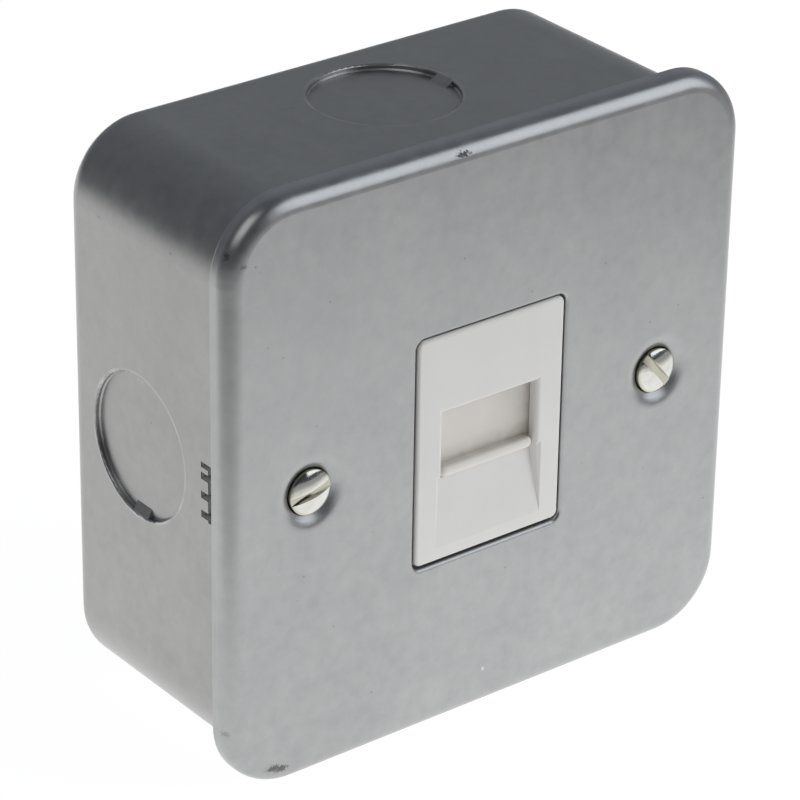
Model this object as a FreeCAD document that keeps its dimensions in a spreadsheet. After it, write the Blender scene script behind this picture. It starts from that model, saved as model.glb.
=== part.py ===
# One-gang surface telephone socket: drawn steel box, pressed steel cover, moulded socket.
# Millimetres. +X right, +Z up, the cover faces -Y and the wall is the plane Y = 0.
# "Front" distances are measured from the wall towards the cover, so front = -Y.
import FreeCAD
import Part
import Sketcher
import math
import os
from types import SimpleNamespace
from FreeCAD import Placement, Rotation, Vector

os.makedirs("parts", exist_ok=True)
doc = FreeCAD.newDocument("telephone_socket")

SIZES = {
    # drawn box
    "box_size": 83.4,
    "box_depth": 38.8,
    "box_wall": 1.2,
    "box_corner": 10.5,
    "box_back_round": 2.7,
    # half-sheared knockouts
    "knockout_diameter": 21.1,
    "knockout_push": 0.85,
    "knockout_front": 16.5,
    "knockout_left_z": 0.5,
    "knockout_top_x": -0.8,
    "knockout_back_z": 19.0,
    "knockout_web_width": 3.4,
    "knockout_web_length": 1.4,
    "knockout_web_step": 0.1,
    "knockout_lip": 0.25,
    "knockout_root": 0.2,
    # wall fixing holes
    "fixing_spacing": 51.0,
    "fixing_hole": 5.0,
    # comb slot that holds a lug
    "slot_set": 0.1,
    "slot_width": 1.8,
    "slot_low": -4.0,
    "slot_high": 4.6,
    "tooth_height": 1.05,
    "tooth_length": 1.6,
    "tooth_pitch": 2.85,
    "tooth_first_z": -3.15,
    "tooth_top_height": 0.8,
    # screw lugs
    "screw_spacing": 60.3,
    "lug_sheet": 1.5,
    "lug_width": 12.0,
    "lug_gap": 0.15,
    "lug_knockout_gap": 0.6,
    "lug_reach": 5.0,
    "lug_bend": 2.0,
    "lug_tongue": 0.6,
    "lug_clearance": 0.1,
    "thread_clearance": 0.1,
    # cover plate
    "plate_sheet": 1.2,
    "plate_gap": 0.9,
    "plate_rim": 3.9,
    "plate_corner": 10.8,
    "plate_edge": 2.5,
    "plate_rim_edge": 0.25,
    "opening_width": 25.8,
    "opening_height": 35.1,
    "opening_drop": 0.4,
    "opening_corner": 1.4,
    "opening_roll": 0.55,
    "dish_diameter": 10.0,
    "dish_depth": 0.8,
    "dish_soft": 3.0,
    "dimple_wall": 0.95,
    "stud_edge": 4.0,
    "stud_diameter": 3.0,
    "stud_length": 4.2,
    # cover screws
    "screw_diameter": 3.5,
    "screw_length": 14.0,
    "screw_point": 0.6,
    "head_diameter": 7.0,
    "head_land": 0.65,
    "head_dome": 0.85,
    "head_seat_gap": 0.05,
    "hole_clearance": 0.4,
    "slot_cut_width": 1.1,
    "slot_cut_depth": 1.3,
    "left_slot_angle": 11.0,
    "right_slot_angle": -49.5,
    # socket frame moulding
    "face_gap": 0.3,
    "face_gap_top": 0.25,
    "face_gap_low": 0.5,
    "face_edge": 0.5,
    "face_wall": 1.6,
    "flange_width": 44.0,
    "flange_lap": 2.1,
    "flange_corner": 3.0,
    "stud_hole_gap": 0.1,
    "window_width": 16.3,
    "window_top": 5.1,
    "window_bottom": -5.6,
    "window_edge": 0.7,
    "chute_width": 18.4,
    "chute_bottom": -15.4,
    "chute_depth": 1.4,
    "chute_draft": 25.0,
    "shoulder_depth": 0.7,
    "shoulder_draft": 55.0,
    "channel_width": 18.6,
    "channel_top": 16.4,
    "collar_wall": 1.4,
    "collar_depth": 6.0,
    # shutter
    "shutter_sheet": 1.4,
    "shutter_gap": 0.1,
    "shutter_top": 9.0,
    "shutter_side_gap": 0.15,
    "bar_side_gap": 0.2,
    "bar_top": -3.5,
    "bar_foot": -5.2,
    "bar_height": 1.4,
    "bar_round": 0.75,
    "bar_end": 0.8,
    "tab_low": 5.2,
    "tab_sheet": 1.2,
    "tab_width": 3.4,
    "tab_length": 4.3,
    "peg_diameter": 2.2,
    "peg_height": 1.2,
    # return spring
    "spring_diameter": 3.6,
    "spring_wire": 0.35,
    "spring_turns": 5.0,
    "spring_seat_gap": 0.03,
    # jack housing
    "jack_depth": 14.8,
    "jack_width": 20.8,
    "jack_low": -9.6,
    "jack_high": 17.6,
    "jack_corner": 1.0,
    "jack_fit": 0.1,
    "cavity_width": 12.4,
    "cavity_low": -5.4,
    "cavity_high": 1.2,
    "cavity_depth": 12.8,
    "latch_width": 2.2,
    "latch_low": -4.2,
    "latch_high": -0.6,
    "latch_depth": 8.0,
    "groove_width": 4.4,
    "groove_low": 4.6,
    "groove_high": 16.5,
    "groove_depth": 5.0,
    "snap_low": 4.0,
    "snap_high": 8.0,
    "snap_height": 0.6,
    "snap_length": 2.0,
    "snap_set": 2.4,
    "snap_gap": 0.1,
    # contacts
    "contact_pitch": 1.3,
    "contact_width": 0.5,
    "contact_sheet": 0.3,
    "contact_z": 2.6,
    "contact_front": 12.0,
    "contact_tip_front": 5.2,
    "contact_tip_z": -0.6,
    "contact_tail": 1.0,
    "contact_bend": 0.8,
    "contact_slot_width": 0.8,
    "contact_slot_gap": 0.4,
    # circuit board
    "board_sheet": 1.6,
    "board_width": 34.0,
    "board_height": 35.0,
    "board_corner": 1.0,
    "board_peg": 2.0,
    "board_peg_x": 8.0,
    "board_peg_high": 14.0,
    "board_peg_low": -4.6,
    "board_peg_stand": 0.8,
    "board_hole_gap": 0.1,
    "tail_gap": 0.1,
    # terminal block
    "block_width": 30.0,
    "block_low": -15.5,
    "block_high": -6.5,
    "block_depth": 9.0,
    "block_corner": 0.6,
    "block_peg_x": 13.6,
    "block_peg_z": -8.2,
    "terminal_pitch": 4.6,
    "wire_slot": 1.3,
    "wire_slot_depth": 7.0,
    "blade_width": 3.2,
    "blade_sheet": 0.4,
    "blade_gap": 0.1,
    "blade_set": 0.6,
    "blade_fork": 0.36,
    "blade_fork_depth": 5.0,
    "blade_mouth": 1.0,
    "blade_tail_width": 0.6,
    "blade_tail": 0.6,
    # push-on washers
    "washer_diameter": 8.0,
    "washer_sheet": 0.6,
    "washer_grip": 0.02,
    "washer_slit": 0.5,
    "washer_slit_reach": 2.7,
    # earth terminal
    "earth_x": 4.0,
    "earth_z": -31.0,
    "earth_size": 7.0,
    "earth_height": 8.0,
    "earth_wire_hole": 3.5,
    "earth_wire_front": 4.2,
    "earth_spigot": 3.0,
    "earth_spigot_gap": 0.05,
    "earth_screw": 3.5,
    "earth_screw_reach": 3.4,
    "earth_head": 6.0,
    "earth_head_height": 2.2,
    "earth_slot": 1.0,
    "earth_slot_depth": 1.2,
}

sheet = doc.addObject("Spreadsheet::Sheet", "sizes")
for row, (name, value) in enumerate(SIZES.items(), start=1):
    sheet.set("A%d" % row, name)
    sheet.set("B%d" % row, str(value))
    sheet.setAlias("B%d" % row, name)
doc.recompute()


# A size carries its number and the sheet expression that drives it.
class Size:
    def __init__(self, value, text):
        self.value = value
        self.text = text

    def __add__(self, other):
        other = as_size(other)
        return Size(self.value + other.value, "(%s + %s)" % (self.text, other.text))

    def __radd__(self, other):
        return as_size(other) + self

    def __sub__(self, other):
        other = as_size(other)
        return Size(self.value - other.value, "(%s - %s)" % (self.text, other.text))

    def __rsub__(self, other):
        return as_size(other) - self

    def __mul__(self, other):
        other = as_size(other)
        return Size(self.value * other.value, "(%s * %s)" % (self.text, other.text))

    def __rmul__(self, other):
        return as_size(other) * self

    def __truediv__(self, other):
        other = as_size(other)
        return Size(self.value / other.value, "(%s / %s)" % (self.text, other.text))

    def __neg__(self):
        return Size(-self.value, "(-1 * %s)" % self.text)


def as_size(item):
    if isinstance(item, Size):
        return item
    if item < 0:
        return Size(float(item), "(0 - %r)" % float(-item))
    return Size(float(item), repr(float(item)))


S = SimpleNamespace(**{name: Size(value, "sizes." + name) for name, value in SIZES.items()})


def drive(target, name, size):
    target.setExpression(name, as_size(size).text)


# Bodies, sketches and features
nodes = []


def new_body(label):
    body = doc.addObject("PartDesign::Body", label)
    body.Label = label
    nodes.append(body)
    return body


def new_sketch(body, name, role, offset=0, shift=(0, 0), turn=None):
    """Sketch on an origin plane; turn is (axis, angle) about the sketch's own origin."""
    sketch = body.newObject("Sketcher::SketchObject", name)
    plane = [item for item in body.Origin.OriginFeatures if item.Role == role][0]
    sketch.AttachmentSupport = [(plane, "")]
    sketch.MapMode = "FlatFace"
    if turn:
        axis, angle = turn
        sketch.AttachmentOffset = Placement(Vector(0, 0, 0), Rotation(axis, as_size(angle).value))
        drive(sketch, ".AttachmentOffset.Rotation.Angle", angle)
    drive(sketch, ".AttachmentOffset.Base.x", shift[0])
    drive(sketch, ".AttachmentOffset.Base.y", shift[1])
    drive(sketch, ".AttachmentOffset.Base.z", offset)
    return sketch


def fix_along(sketch, kind, geo, point, size):
    size = as_size(size)
    if size.value == 0 and "sizes" not in size.text:
        axis = -2 if kind == "DistanceX" else -1
        sketch.addConstraint(Sketcher.Constraint("PointOnObject", geo, point, axis))
        return
    index = sketch.addConstraint(Sketcher.Constraint(kind, -1, 1, geo, point, size.value))
    drive(sketch, "Constraints[%d]" % index, size)


def fix_point(sketch, geo, point, x, y):
    fix_along(sketch, "DistanceX", geo, point, x)
    fix_along(sketch, "DistanceY", geo, point, y)


def fix_size(sketch, kind, geo, size):
    index = sketch.addConstraint(Sketcher.Constraint(kind, geo, as_size(size).value))
    drive(sketch, "Constraints[%d]" % index, size)


def polygon(sketch, points):
    """Closed outline of straight lines, every corner placed by its two sizes."""
    spots = [Vector(as_size(x).value, as_size(y).value, 0) for x, y in points]
    count = len(points)
    lines = []
    for i in range(count):
        lines.append(sketch.addGeometry(Part.LineSegment(spots[i], spots[(i + 1) % count]), False))
    for i in range(count):
        sketch.addConstraint(Sketcher.Constraint("Coincident", lines[i - 1], 2, lines[i], 1))
        fix_point(sketch, lines[i], 1, points[i][0], points[i][1])


def rectangle(sketch, left, right, low, high):
    polygon(sketch, [(left, low), (right, low), (right, high), (left, high)])


def rounded(sketch, left, right, low, high, radius):
    """Rectangle with equal corner arcs."""
    x0, x1, y0, y1, r = [as_size(item).value for item in (left, right, low, high, radius)]
    quarter = math.pi / 2
    ends = [((x0 + r, y0), (x1 - r, y0)), ((x1, y0 + r), (x1, y1 - r)),
            ((x1 - r, y1), (x0 + r, y1)), ((x0, y1 - r), (x0, y0 + r))]
    centres = [(x1 - r, y0 + r, 3), (x1 - r, y1 - r, 0), (x0 + r, y1 - r, 1), (x0 + r, y0 + r, 2)]
    lines = []
    arcs = []
    for (start, end), (cx, cy, turn) in zip(ends, centres):
        line = Part.LineSegment(Vector(start[0], start[1], 0), Vector(end[0], end[1], 0))
        circle = Part.Circle(Vector(cx, cy, 0), Vector(0, 0, 1), r)
        arc = Part.ArcOfCircle(circle, turn * quarter, (turn + 1) * quarter)
        lines.append(sketch.addGeometry(line, False))
        arcs.append(sketch.addGeometry(arc, False))
    for i in range(4):
        sketch.addConstraint(Sketcher.Constraint("Tangent", lines[i], 2, arcs[i], 1))
        sketch.addConstraint(Sketcher.Constraint("Tangent", arcs[i], 2, lines[(i + 1) % 4], 1))
    sketch.addConstraint(Sketcher.Constraint("Horizontal", lines[0]))
    sketch.addConstraint(Sketcher.Constraint("Vertical", lines[1]))
    for i in range(1, 4):
        sketch.addConstraint(Sketcher.Constraint("Equal", arcs[0], arcs[i]))
    fix_size(sketch, "Radius", arcs[0], radius)
    fix_along(sketch, "DistanceY", lines[0], 1, low)
    fix_along(sketch, "DistanceX", lines[1], 1, right)
    fix_along(sketch, "DistanceY", lines[2], 1, high)
    fix_along(sketch, "DistanceX", lines[3], 1, left)


def circle(sketch, x, y, diameter):
    centre = Vector(as_size(x).value, as_size(y).value, 0)
    shape = Part.Circle(centre, Vector(0, 0, 1), as_size(diameter).value / 2)
    index = sketch.addGeometry(shape, False)
    fix_point(sketch, index, 3, x, y)
    fix_size(sketch, "Diameter", index, diameter)


def extrude(kind, body, name, sketch, length, back):
    feature = body.newObject("PartDesign::" + kind, name)
    feature.Profile = sketch
    feature.Reversed = back
    drive(feature, "Length", length)
    doc.recompute()
    return feature


def pad(body, name, sketch, length, back=False):
    return extrude("Pad", body, name, sketch, length, back)


def pocket(body, name, sketch, length, back=False):
    return extrude("Pocket", body, name, sketch, length, back)


def turned(body, name, sketch, kind="Revolution"):
    """Full turn about the sketch's own upright axis."""
    feature = body.newObject("PartDesign::" + kind, name)
    feature.Profile = sketch
    feature.ReferenceAxis = (sketch, ["V_Axis"])
    feature.Angle = 360
    doc.recompute()
    return feature


def row_of(body, name, feature, sketch, axis, count, pitch):
    """Row of equal features along a sketch axis, spaced by the pitch."""
    pattern = body.newObject("PartDesign::LinearPattern", name)
    pattern.Originals = [feature]
    pattern.Direction = (sketch, [axis])
    pattern.Occurrences = count
    drive(pattern, "Length", pitch * (count - 1))
    body.Tip = pattern
    doc.recompute()
    return pattern


def edges_where(feature, test):
    return ["Edge%d" % (i + 1) for i, edge in enumerate(feature.Shape.Edges) if test(edge)]


def dress(kind, size_name, body, name, feature, test, size):
    result = body.newObject("PartDesign::" + kind, name)
    result.Base = (feature, edges_where(feature, test))
    drive(result, size_name, size)
    doc.recompute()
    return result


def fillet(body, name, feature, test, radius):
    return dress("Fillet", "Radius", body, name, feature, test, radius)


def chamfer(body, name, feature, test, size):
    return dress("Chamfer", "Size", body, name, feature, test, size)


def lies_at(axis, size):
    """Edges that lie in the plane where X, Y or Z has the given value."""
    def test(edge):
        bounds = edge.BoundBox
        low = getattr(bounds, axis + "Min")
        high = getattr(bounds, axis + "Max")
        return abs(low - as_size(size).value) < 0.001 and abs(high - as_size(size).value) < 0.001
    return test


def within(left, right, low, high):
    """Edges that stay inside an upright rectangle seen from the front."""
    x0, x1, z0, z1 = [as_size(item).value for item in (left, right, low, high)]
    slack = 0.01

    def test(edge):
        bounds = edge.BoundBox
        across = bounds.XMin > x0 - slack and bounds.XMax < x1 + slack
        return across and bounds.ZMin > z0 - slack and bounds.ZMax < z1 + slack
    return test


def rounds_with(radius):
    """Edges that are arcs or circles of the given radius."""
    size = as_size(radius).value
    return lambda edge: abs(getattr(edge.Curve, "Radius", 0) - size) < 0.001


def both(first, second):
    return lambda edge: first(edge) and second(edge)


# Shared places, all driven by the sizes above
face_front = S.box_depth + S.plate_sheet
plate_half = S.box_size / 2 + S.plate_gap + S.plate_sheet
inner_half = S.box_size / 2 - S.box_wall
channel_depth = S.shutter_sheet + 2 * S.shutter_gap
flange_back = face_front - S.face_wall - channel_depth
jack_back = flange_back - S.jack_depth
board_back = jack_back - S.board_sheet
block_back = board_back - S.block_depth
head_radius = S.head_diameter / 2 + S.head_seat_gap
hole_radius = (S.screw_diameter + S.hole_clearance) / 2
cone_back = face_front - S.dish_depth - (head_radius - hole_radius)
dimple_back = cone_back - S.dimple_wall
lug_front = dimple_back - S.lug_gap
slot_front = lug_front - S.lug_bend - S.slot_set
stud_middle = S.flange_width / 2 - S.stud_edge
SIDES = (("left", -1), ("right", 1))


# Drawn box: rounded tray, half-sheared knockouts, lug slots and wall fixing holes
def knockout(body, name, role, side, across, along):
    """Disc pushed in from the outside and still joined by one web that slopes up to the wall.

    side is +1 where the sketch plane's normal points out of the wall. The web is below the disc in
    the side walls, right of it in the top and bottom walls, and above it in the back.
    """
    wall = 0 if role == "XZ_Plane" else S.box_size / 2 * side
    inner = S.box_wall if role == "XZ_Plane" else inner_half * side
    inwards = side < 0
    radius = S.knockout_diameter / 2
    floor = wall - S.knockout_push * side
    normal = {"XY_Plane": "Z", "XZ_Plane": "Y", "YZ_Plane": "X"}[role]
    outer_plane, floor_plane = (-wall, -floor) if normal == "Y" else (wall, floor)
    disc = new_sketch(body, name + "_cut_outline", role, wall)
    circle(disc, across, along, S.knockout_diameter)
    cut = pocket(body, name + "_cut", disc, S.knockout_push, back=inwards)
    rim = rounds_with(radius)
    cut = chamfer(body, name + "_root", cut, both(lies_at(normal, floor_plane), rim), S.knockout_root)
    fillet(body, name + "_lip", cut, both(lies_at(normal, outer_plane), rim), S.knockout_lip)
    boss = new_sketch(body, name + "_disc_outline", role, inner)
    circle(boss, across, along, S.knockout_diameter)
    pad(body, name + "_disc", boss, S.knockout_push, back=not inwards)
    near = radius - S.knockout_web_length
    far = radius + 2 * S.knockout_lip
    crest = floor + (S.knockout_push - S.knockout_web_step) * side
    if role == "XZ_Plane":
        bridge = new_sketch(body, name + "_web_outline", "YZ_Plane", across - S.knockout_web_width / 2)
        polygon(bridge, [(-floor, along + near), (-floor, along + far),
                         (-crest, along + far), (-crest, along + radius)])
    else:
        bridge = new_sketch(body, name + "_web_outline", "XZ_Plane",
                            S.knockout_front - S.knockout_web_width / 2)
        if role == "XY_Plane":
            polygon(bridge, [(across + near, floor), (across + far, floor),
                             (across + far, crest), (across + radius, crest)])
        else:
            polygon(bridge, [(floor, along - near), (floor, along - far),
                             (crest, along - far), (crest, along - radius)])
    pad(body, name + "_web", bridge, S.knockout_web_width)


box = new_body("back_box")
outline = new_sketch(box, "box_outline", "XZ_Plane")
half = S.box_size / 2
rounded(outline, -half, half, -half, half, S.box_corner)
drawn = pad(box, "box_drawn", outline, S.box_depth)
drawn = fillet(box, "box_back_rounding", drawn, lies_at("Y", 0), S.box_back_round)
mouth = new_sketch(box, "box_mouth", "XZ_Plane", S.box_depth)
rounded(mouth, -inner_half, inner_half, -inner_half, inner_half, S.box_corner - S.box_wall)
hollow = pocket(box, "box_hollow", mouth, S.box_depth - S.box_wall)
fillet(box, "box_floor_rounding", hollow, lies_at("Y", -S.box_wall), S.box_back_round - S.box_wall)

knockout(box, "knockout_left", "YZ_Plane", -1, -S.knockout_front, S.knockout_left_z)
knockout(box, "knockout_right", "YZ_Plane", 1, -S.knockout_front, S.knockout_left_z)
knockout(box, "knockout_top", "XY_Plane", 1, S.knockout_top_x, -S.knockout_front)
knockout(box, "knockout_bottom", "XY_Plane", -1, S.knockout_top_x, -S.knockout_front)
knockout(box, "knockout_back", "XZ_Plane", -1, as_size(0), S.knockout_back_z)

fixing = new_sketch(box, "fixing_hole_centres", "XZ_Plane", S.box_wall)
for x_side in (-1, 1):
    for z_side in (-1, 1):
        circle(fixing, S.fixing_spacing / 2 * x_side, S.fixing_spacing / 2 * z_side, S.fixing_hole)
pocket(box, "fixing_holes", fixing, S.box_wall)
spigot = new_sketch(box, "earth_hole_outline", "XZ_Plane", S.box_wall)
circle(spigot, S.earth_x, S.earth_z, S.earth_spigot + 2 * S.earth_spigot_gap)
pocket(box, "earth_hole", spigot, S.box_wall)

slot_back = slot_front - S.slot_width
tooth_back = slot_back - S.tooth_length
for label, side in SIDES:
    wall = S.box_size / 2 * side
    slot = new_sketch(box, "lug_slot_%s_outline" % label, "YZ_Plane", wall)
    step = S.slot_high - S.tooth_top_height
    polygon(slot, [(-slot_front, S.slot_low), (-slot_back, S.slot_low), (-slot_back, step),
                   (-tooth_back, step), (-tooth_back, S.slot_high), (-slot_front, S.slot_high)])
    pocket(box, "lug_slot_" + label, slot, S.box_wall, back=side < 0)
    tooth = new_sketch(box, "lug_tooth_%s_outline" % label, "YZ_Plane", wall)
    rectangle(tooth, -slot_back - S.slot_width / 2, -tooth_back,
              S.tooth_first_z - S.tooth_height / 2, S.tooth_first_z + S.tooth_height / 2)
    cut = pocket(box, "lug_tooth_" + label, tooth, S.box_wall, back=side < 0)
    row_of(box, "lug_teeth_" + label, cut, tooth, "V_Axis", 3, S.tooth_pitch)

# Lugs: bent strip along the wall with a tongue in the slot and a threaded hole for the cover screw
for label, side in SIDES:
    lug = new_body("fixing_lug_" + label)
    profile = new_sketch(lug, "lug_%s_profile" % label, "XY_Plane", -S.lug_width / 2)
    wall = inner_half * side
    tip = (S.screw_spacing / 2 - S.lug_reach) * side
    inside = (inner_half - S.lug_sheet) * side
    heel = S.knockout_front + S.knockout_diameter / 2 + S.lug_knockout_gap
    polygon(profile, [(wall, -lug_front), (tip, -lug_front), (tip, -lug_front + S.lug_sheet),
                      (inside, -lug_front + S.lug_sheet), (inside, -heel), (wall, -heel)])
    strip = pad(lug, "lug_%s_strip" % label, profile, S.lug_width)
    strip = fillet(lug, "lug_%s_bend" % label, strip,
                   both(lies_at("X", wall), lies_at("Y", -lug_front)), S.lug_bend)
    inner_bend = both(lies_at("X", inside), lies_at("Y", -lug_front + S.lug_sheet))
    fillet(lug, "lug_%s_root" % label, strip, inner_bend, S.lug_bend - S.lug_sheet)
    tongue = new_sketch(lug, "lug_%s_tongue_outline" % label, "YZ_Plane", wall)
    rectangle(tongue, -slot_front + S.lug_clearance, -slot_back - S.slot_width / 3,
              S.slot_low + S.lug_clearance, S.slot_high - S.lug_clearance)
    pad(lug, "lug_%s_tongue" % label, tongue, S.lug_tongue, back=side < 0)
    hole = new_sketch(lug, "lug_%s_hole_outline" % label, "XZ_Plane", lug_front)
    circle(hole, S.screw_spacing / 2 * side, 0, S.screw_diameter + S.thread_clearance)
    pocket(lug, "lug_%s_hole" % label, hole, S.lug_sheet)

# Earth terminal: brass pillar riveted to the floor, with its clamp screw
pillar = new_body("earth_terminal_block")
base = new_sketch(pillar, "pillar_outline", "XZ_Plane", S.box_wall)
earth_half = S.earth_size / 2
rectangle(base, S.earth_x - earth_half, S.earth_x + earth_half,
          S.earth_z - earth_half, S.earth_z + earth_half)
post = pad(pillar, "pillar", base, S.earth_height)
rivet = new_sketch(pillar, "rivet_outline", "XZ_Plane", S.box_wall)
circle(rivet, S.earth_x, S.earth_z, S.earth_spigot)
pad(pillar, "rivet", rivet, S.box_wall, back=True)
wire = new_sketch(pillar, "wire_hole_outline", "YZ_Plane", S.earth_x + earth_half)
circle(wire, -S.box_wall - S.earth_wire_front, S.earth_z, S.earth_wire_hole)
pocket(pillar, "wire_hole", wire, S.earth_size)
pillar_top = S.box_wall + S.earth_height
clamp = new_sketch(pillar, "clamp_hole_outline", "XZ_Plane", pillar_top)
circle(clamp, S.earth_x, S.earth_z, S.earth_screw + S.thread_clearance)
pocket(pillar, "clamp_hole", clamp, S.earth_height - S.earth_wire_front)

earth_screw = new_body("earth_terminal_screw")
head = new_sketch(earth_screw, "earth_head_outline", "XZ_Plane", pillar_top)
circle(head, S.earth_x, S.earth_z, S.earth_head)
pad(earth_screw, "earth_head", head, S.earth_head_height)
shank = new_sketch(earth_screw, "earth_shank_outline", "XZ_Plane", pillar_top)
circle(shank, S.earth_x, S.earth_z, S.earth_screw)
pad(earth_screw, "earth_shank", shank, S.earth_screw_reach, back=True)
notch = new_sketch(earth_screw, "earth_slot_outline", "XZ_Plane", pillar_top + S.earth_head_height)
rectangle(notch, S.earth_x - S.earth_head, S.earth_x + S.earth_head,
          S.earth_z - S.earth_slot / 2, S.earth_z + S.earth_slot / 2)
pocket(earth_screw, "earth_slot", notch, S.earth_slot_depth)

# Cover: pressed tray with dished screw holes, socket opening and two studs behind
plate = new_body("front_plate")
rim_back = face_front - S.plate_rim
skin = new_sketch(plate, "plate_outline", "XZ_Plane", rim_back)
rounded(skin, -plate_half, plate_half, -plate_half, plate_half, S.plate_corner)
pressed = pad(plate, "plate_pressing", skin, S.plate_rim)
pressed = fillet(plate, "plate_edge_rounding", pressed, lies_at("Y", -face_front), S.plate_edge)
fillet(plate, "plate_rim_rounding", pressed, lies_at("Y", -rim_back), S.plate_rim_edge)
tray = new_sketch(plate, "plate_tray_outline", "XZ_Plane", rim_back)
tray_half = plate_half - S.plate_sheet
rounded(tray, -tray_half, tray_half, -tray_half, tray_half, S.plate_corner - S.plate_sheet)
pressed = pocket(plate, "plate_tray", tray, S.plate_rim - S.plate_sheet, back=True)
pressed = fillet(plate, "plate_tray_rounding", pressed, lies_at("Y", -S.box_depth), S.plate_gap * 0.9)
for label, side in SIDES:
    centre = S.screw_spacing / 2 * side
    dimple = new_sketch(plate, "dimple_%s_profile" % label, "XY_Plane", 0, (centre, 0))
    skin_middle = face_front - S.plate_sheet / 2
    dish_radius = S.dish_diameter / 2
    shoulder = S.dimple_wall
    polygon(dimple, [(0, -skin_middle), (dish_radius + shoulder, -skin_middle),
                     (dish_radius + shoulder, -S.box_depth),
                     (head_radius + shoulder, -S.box_depth + S.dish_depth),
                     (hole_radius + shoulder, -dimple_back), (0, -dimple_back)])
    turned(plate, "dimple_" + label, dimple)
    sink = new_sketch(plate, "sink_%s_profile" % label, "XY_Plane", 0, (centre, 0))
    polygon(sink, [(0, -face_front - S.plate_sheet), (dish_radius, -face_front - S.plate_sheet),
                   (dish_radius, -face_front), (head_radius, -face_front + S.dish_depth),
                   (hole_radius, -cone_back), (hole_radius, -rim_back), (0, -rim_back)])
    dished = turned(plate, "sink_" + label, sink, "Groove")
    ring = both(lies_at("Y", -face_front), rounds_with(dish_radius))
    fillet(plate, "dish_soft_" + label, dished, ring, S.dish_soft)
opening = new_sketch(plate, "opening_outline", "XZ_Plane", face_front)
opening_half = S.opening_width / 2
opening_high = S.opening_height / 2
opening_top = opening_high - S.opening_drop
opening_foot = opening_top - S.opening_height
rounded(opening, -opening_half, opening_half, opening_foot, opening_top, S.opening_corner)
pierced = pocket(plate, "opening", opening, S.plate_sheet)
brim = both(lies_at("Y", -face_front), within(-opening_half, opening_half, opening_foot, opening_top))
fillet(plate, "opening_rolled_edge", pierced, brim, S.opening_roll)
studs = new_sketch(plate, "stud_centres", "XZ_Plane", S.box_depth)
for label, side in SIDES:
    circle(studs, stud_middle * side, 0, S.stud_diameter)
pad(plate, "studs", studs, S.stud_length, back=True)

# Cover screws: raised countersunk heads seated in the dishes
seat_front = face_front - S.dish_depth
for label, side in SIDES:
    screw = new_body("plate_screw_" + label)
    centre = S.screw_spacing / 2 * side
    profile = new_sketch(screw, "screw_%s_profile" % label, "XY_Plane", 0, (centre, 0))
    land_front = seat_front + S.head_land
    crown = land_front + S.head_dome
    rim = S.head_diameter / 2
    shank = S.screw_diameter / 2
    tip = seat_front - S.screw_length
    corners = [(0, -crown), (rim, -land_front), (rim, -seat_front), (shank, -seat_front + rim - shank),
               (shank, -tip - S.screw_point), (shank - S.screw_point, -tip), (0, -tip)]
    spots = [Vector(as_size(x).value, as_size(y).value, 0) for x, y in corners]
    sphere = (rim.value ** 2 + S.head_dome.value ** 2) / (2 * S.head_dome.value)
    middle = Vector(0, spots[0].y + sphere, 0)
    sweep = math.asin(rim.value / sphere)
    quarter = math.pi / 2
    dome = Part.ArcOfCircle(Part.Circle(middle, Vector(0, 0, 1), sphere), -quarter, sweep - quarter)
    profile.addGeometry(dome, False)
    for i in range(1, 7):
        profile.addGeometry(Part.LineSegment(spots[i], spots[(i + 1) % 7]), False)
    for i in range(1, 7):
        profile.addConstraint(Sketcher.Constraint("Coincident", i - 1, 2, i, 1))
        fix_point(profile, i, 1, corners[i][0], corners[i][1])
    profile.addConstraint(Sketcher.Constraint("Coincident", 6, 2, 0, 1))
    fix_point(profile, 0, 1, corners[0][0], corners[0][1])
    profile.addConstraint(Sketcher.Constraint("PointOnObject", 0, 3, -2))
    turned(screw, "screw_%s_turned" % label, profile)
    angle = S.left_slot_angle if side < 0 else S.right_slot_angle
    drive_slot = new_sketch(screw, "drive_slot_%s_outline" % label, "XZ_Plane", crown, (centre, 0),
                            (Vector(0, 0, 1), angle))
    rectangle(drive_slot, -S.head_diameter, S.head_diameter, -S.slot_cut_width / 2, S.slot_cut_width / 2)
    pocket(screw, "drive_slot_" + label, drive_slot, S.slot_cut_depth)

# Socket frame: flush face, flange behind the cover, window, chute, shutter channel and collar
frame = new_body("socket_frame")
face_half = opening_half - S.face_gap
face = new_sketch(frame, "face_outline", "XZ_Plane", S.box_depth)
rounded(face, -face_half, face_half, opening_foot + S.face_gap_low, opening_top - S.face_gap_top,
        S.opening_corner - S.face_gap)
front = pad(frame, "face_block", face, S.plate_sheet)
front = fillet(frame, "face_edge_rounding", front, lies_at("Y", -face_front), S.face_edge)
flange = new_sketch(frame, "flange_outline", "XZ_Plane", flange_back)
flange_high = opening_high + S.flange_lap
rounded(flange, -S.flange_width / 2, S.flange_width / 2, -flange_high, flange_high, S.flange_corner)
pad(frame, "flange", flange, S.box_depth - flange_back)
jack_half = S.jack_width / 2
collar = new_sketch(frame, "collar_outline", "XZ_Plane", flange_back)
collar_out = S.jack_fit + S.collar_wall
rounded(collar, -jack_half - collar_out, jack_half + collar_out,
        S.jack_low - collar_out, S.jack_high + collar_out, S.jack_corner + collar_out)
pad(frame, "collar", collar, S.collar_depth, back=True)
sleeve = new_sketch(frame, "sleeve_outline", "XZ_Plane", flange_back)
rounded(sleeve, -jack_half - S.jack_fit, jack_half + S.jack_fit,
        S.jack_low - S.jack_fit, S.jack_high + S.jack_fit, S.jack_corner + S.jack_fit)
pocket(frame, "sleeve", sleeve, S.collar_depth)
channel = new_sketch(frame, "channel_outline", "XZ_Plane", flange_back)
rectangle(channel, -S.channel_width / 2, S.channel_width / 2, S.window_bottom, S.channel_top)
pocket(frame, "channel", channel, channel_depth, back=True)
window = new_sketch(frame, "window_outline", "XZ_Plane", face_front)
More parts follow.
